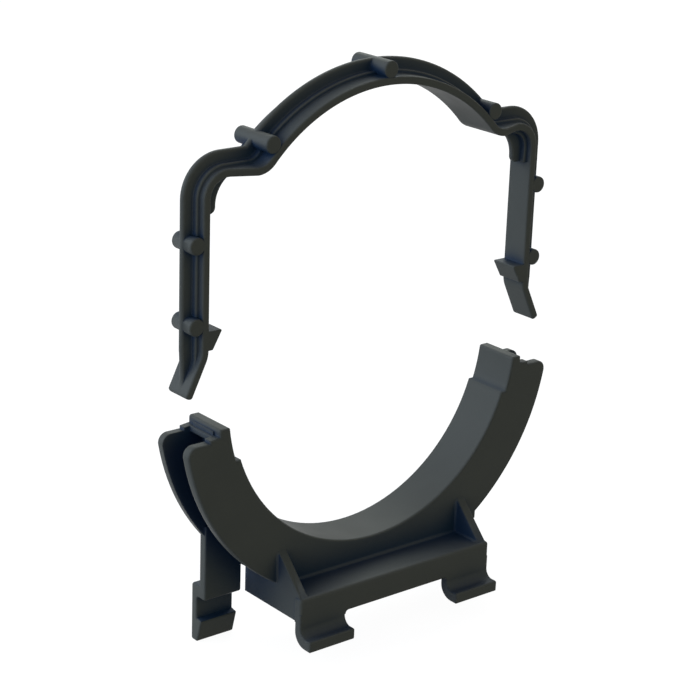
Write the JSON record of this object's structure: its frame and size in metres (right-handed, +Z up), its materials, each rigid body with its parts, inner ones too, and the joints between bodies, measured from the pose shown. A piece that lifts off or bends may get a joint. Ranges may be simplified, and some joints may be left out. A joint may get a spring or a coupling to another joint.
{
  "type": "pipe clip",
  "caption": "Plastic pipe clip in halves: a cored saddle with hooked feet and snap legs carries the pipe, and a ribbed yoke closes over it.",
  "frame": {"origin": "on the axis of the pipe that the saddle carries, halfway along the seat", "axes": "+Y along the pipe, away from the hooked feet; +Z up, out of the saddle towards the yoke; X across the pipe"},
  "size_m": [0.1164, 0.0306, 0.1466],
  "materials": {
    "saddle_plastic": "fine satin as moulded",
    "yoke_plastic": "fine satin as moulded"
  },
  "bodies": {
    "saddle": {"saddle": "saddle_plastic"},
    "yoke": {"yoke": "yoke_plastic"}
  },
  "joints": [
    {"name": "yoke_slide", "type": "slide", "parent": "saddle", "child": "yoke", "axis": [0, 0, 1], "range_m": [-0.0202, 0]}
  ]
}
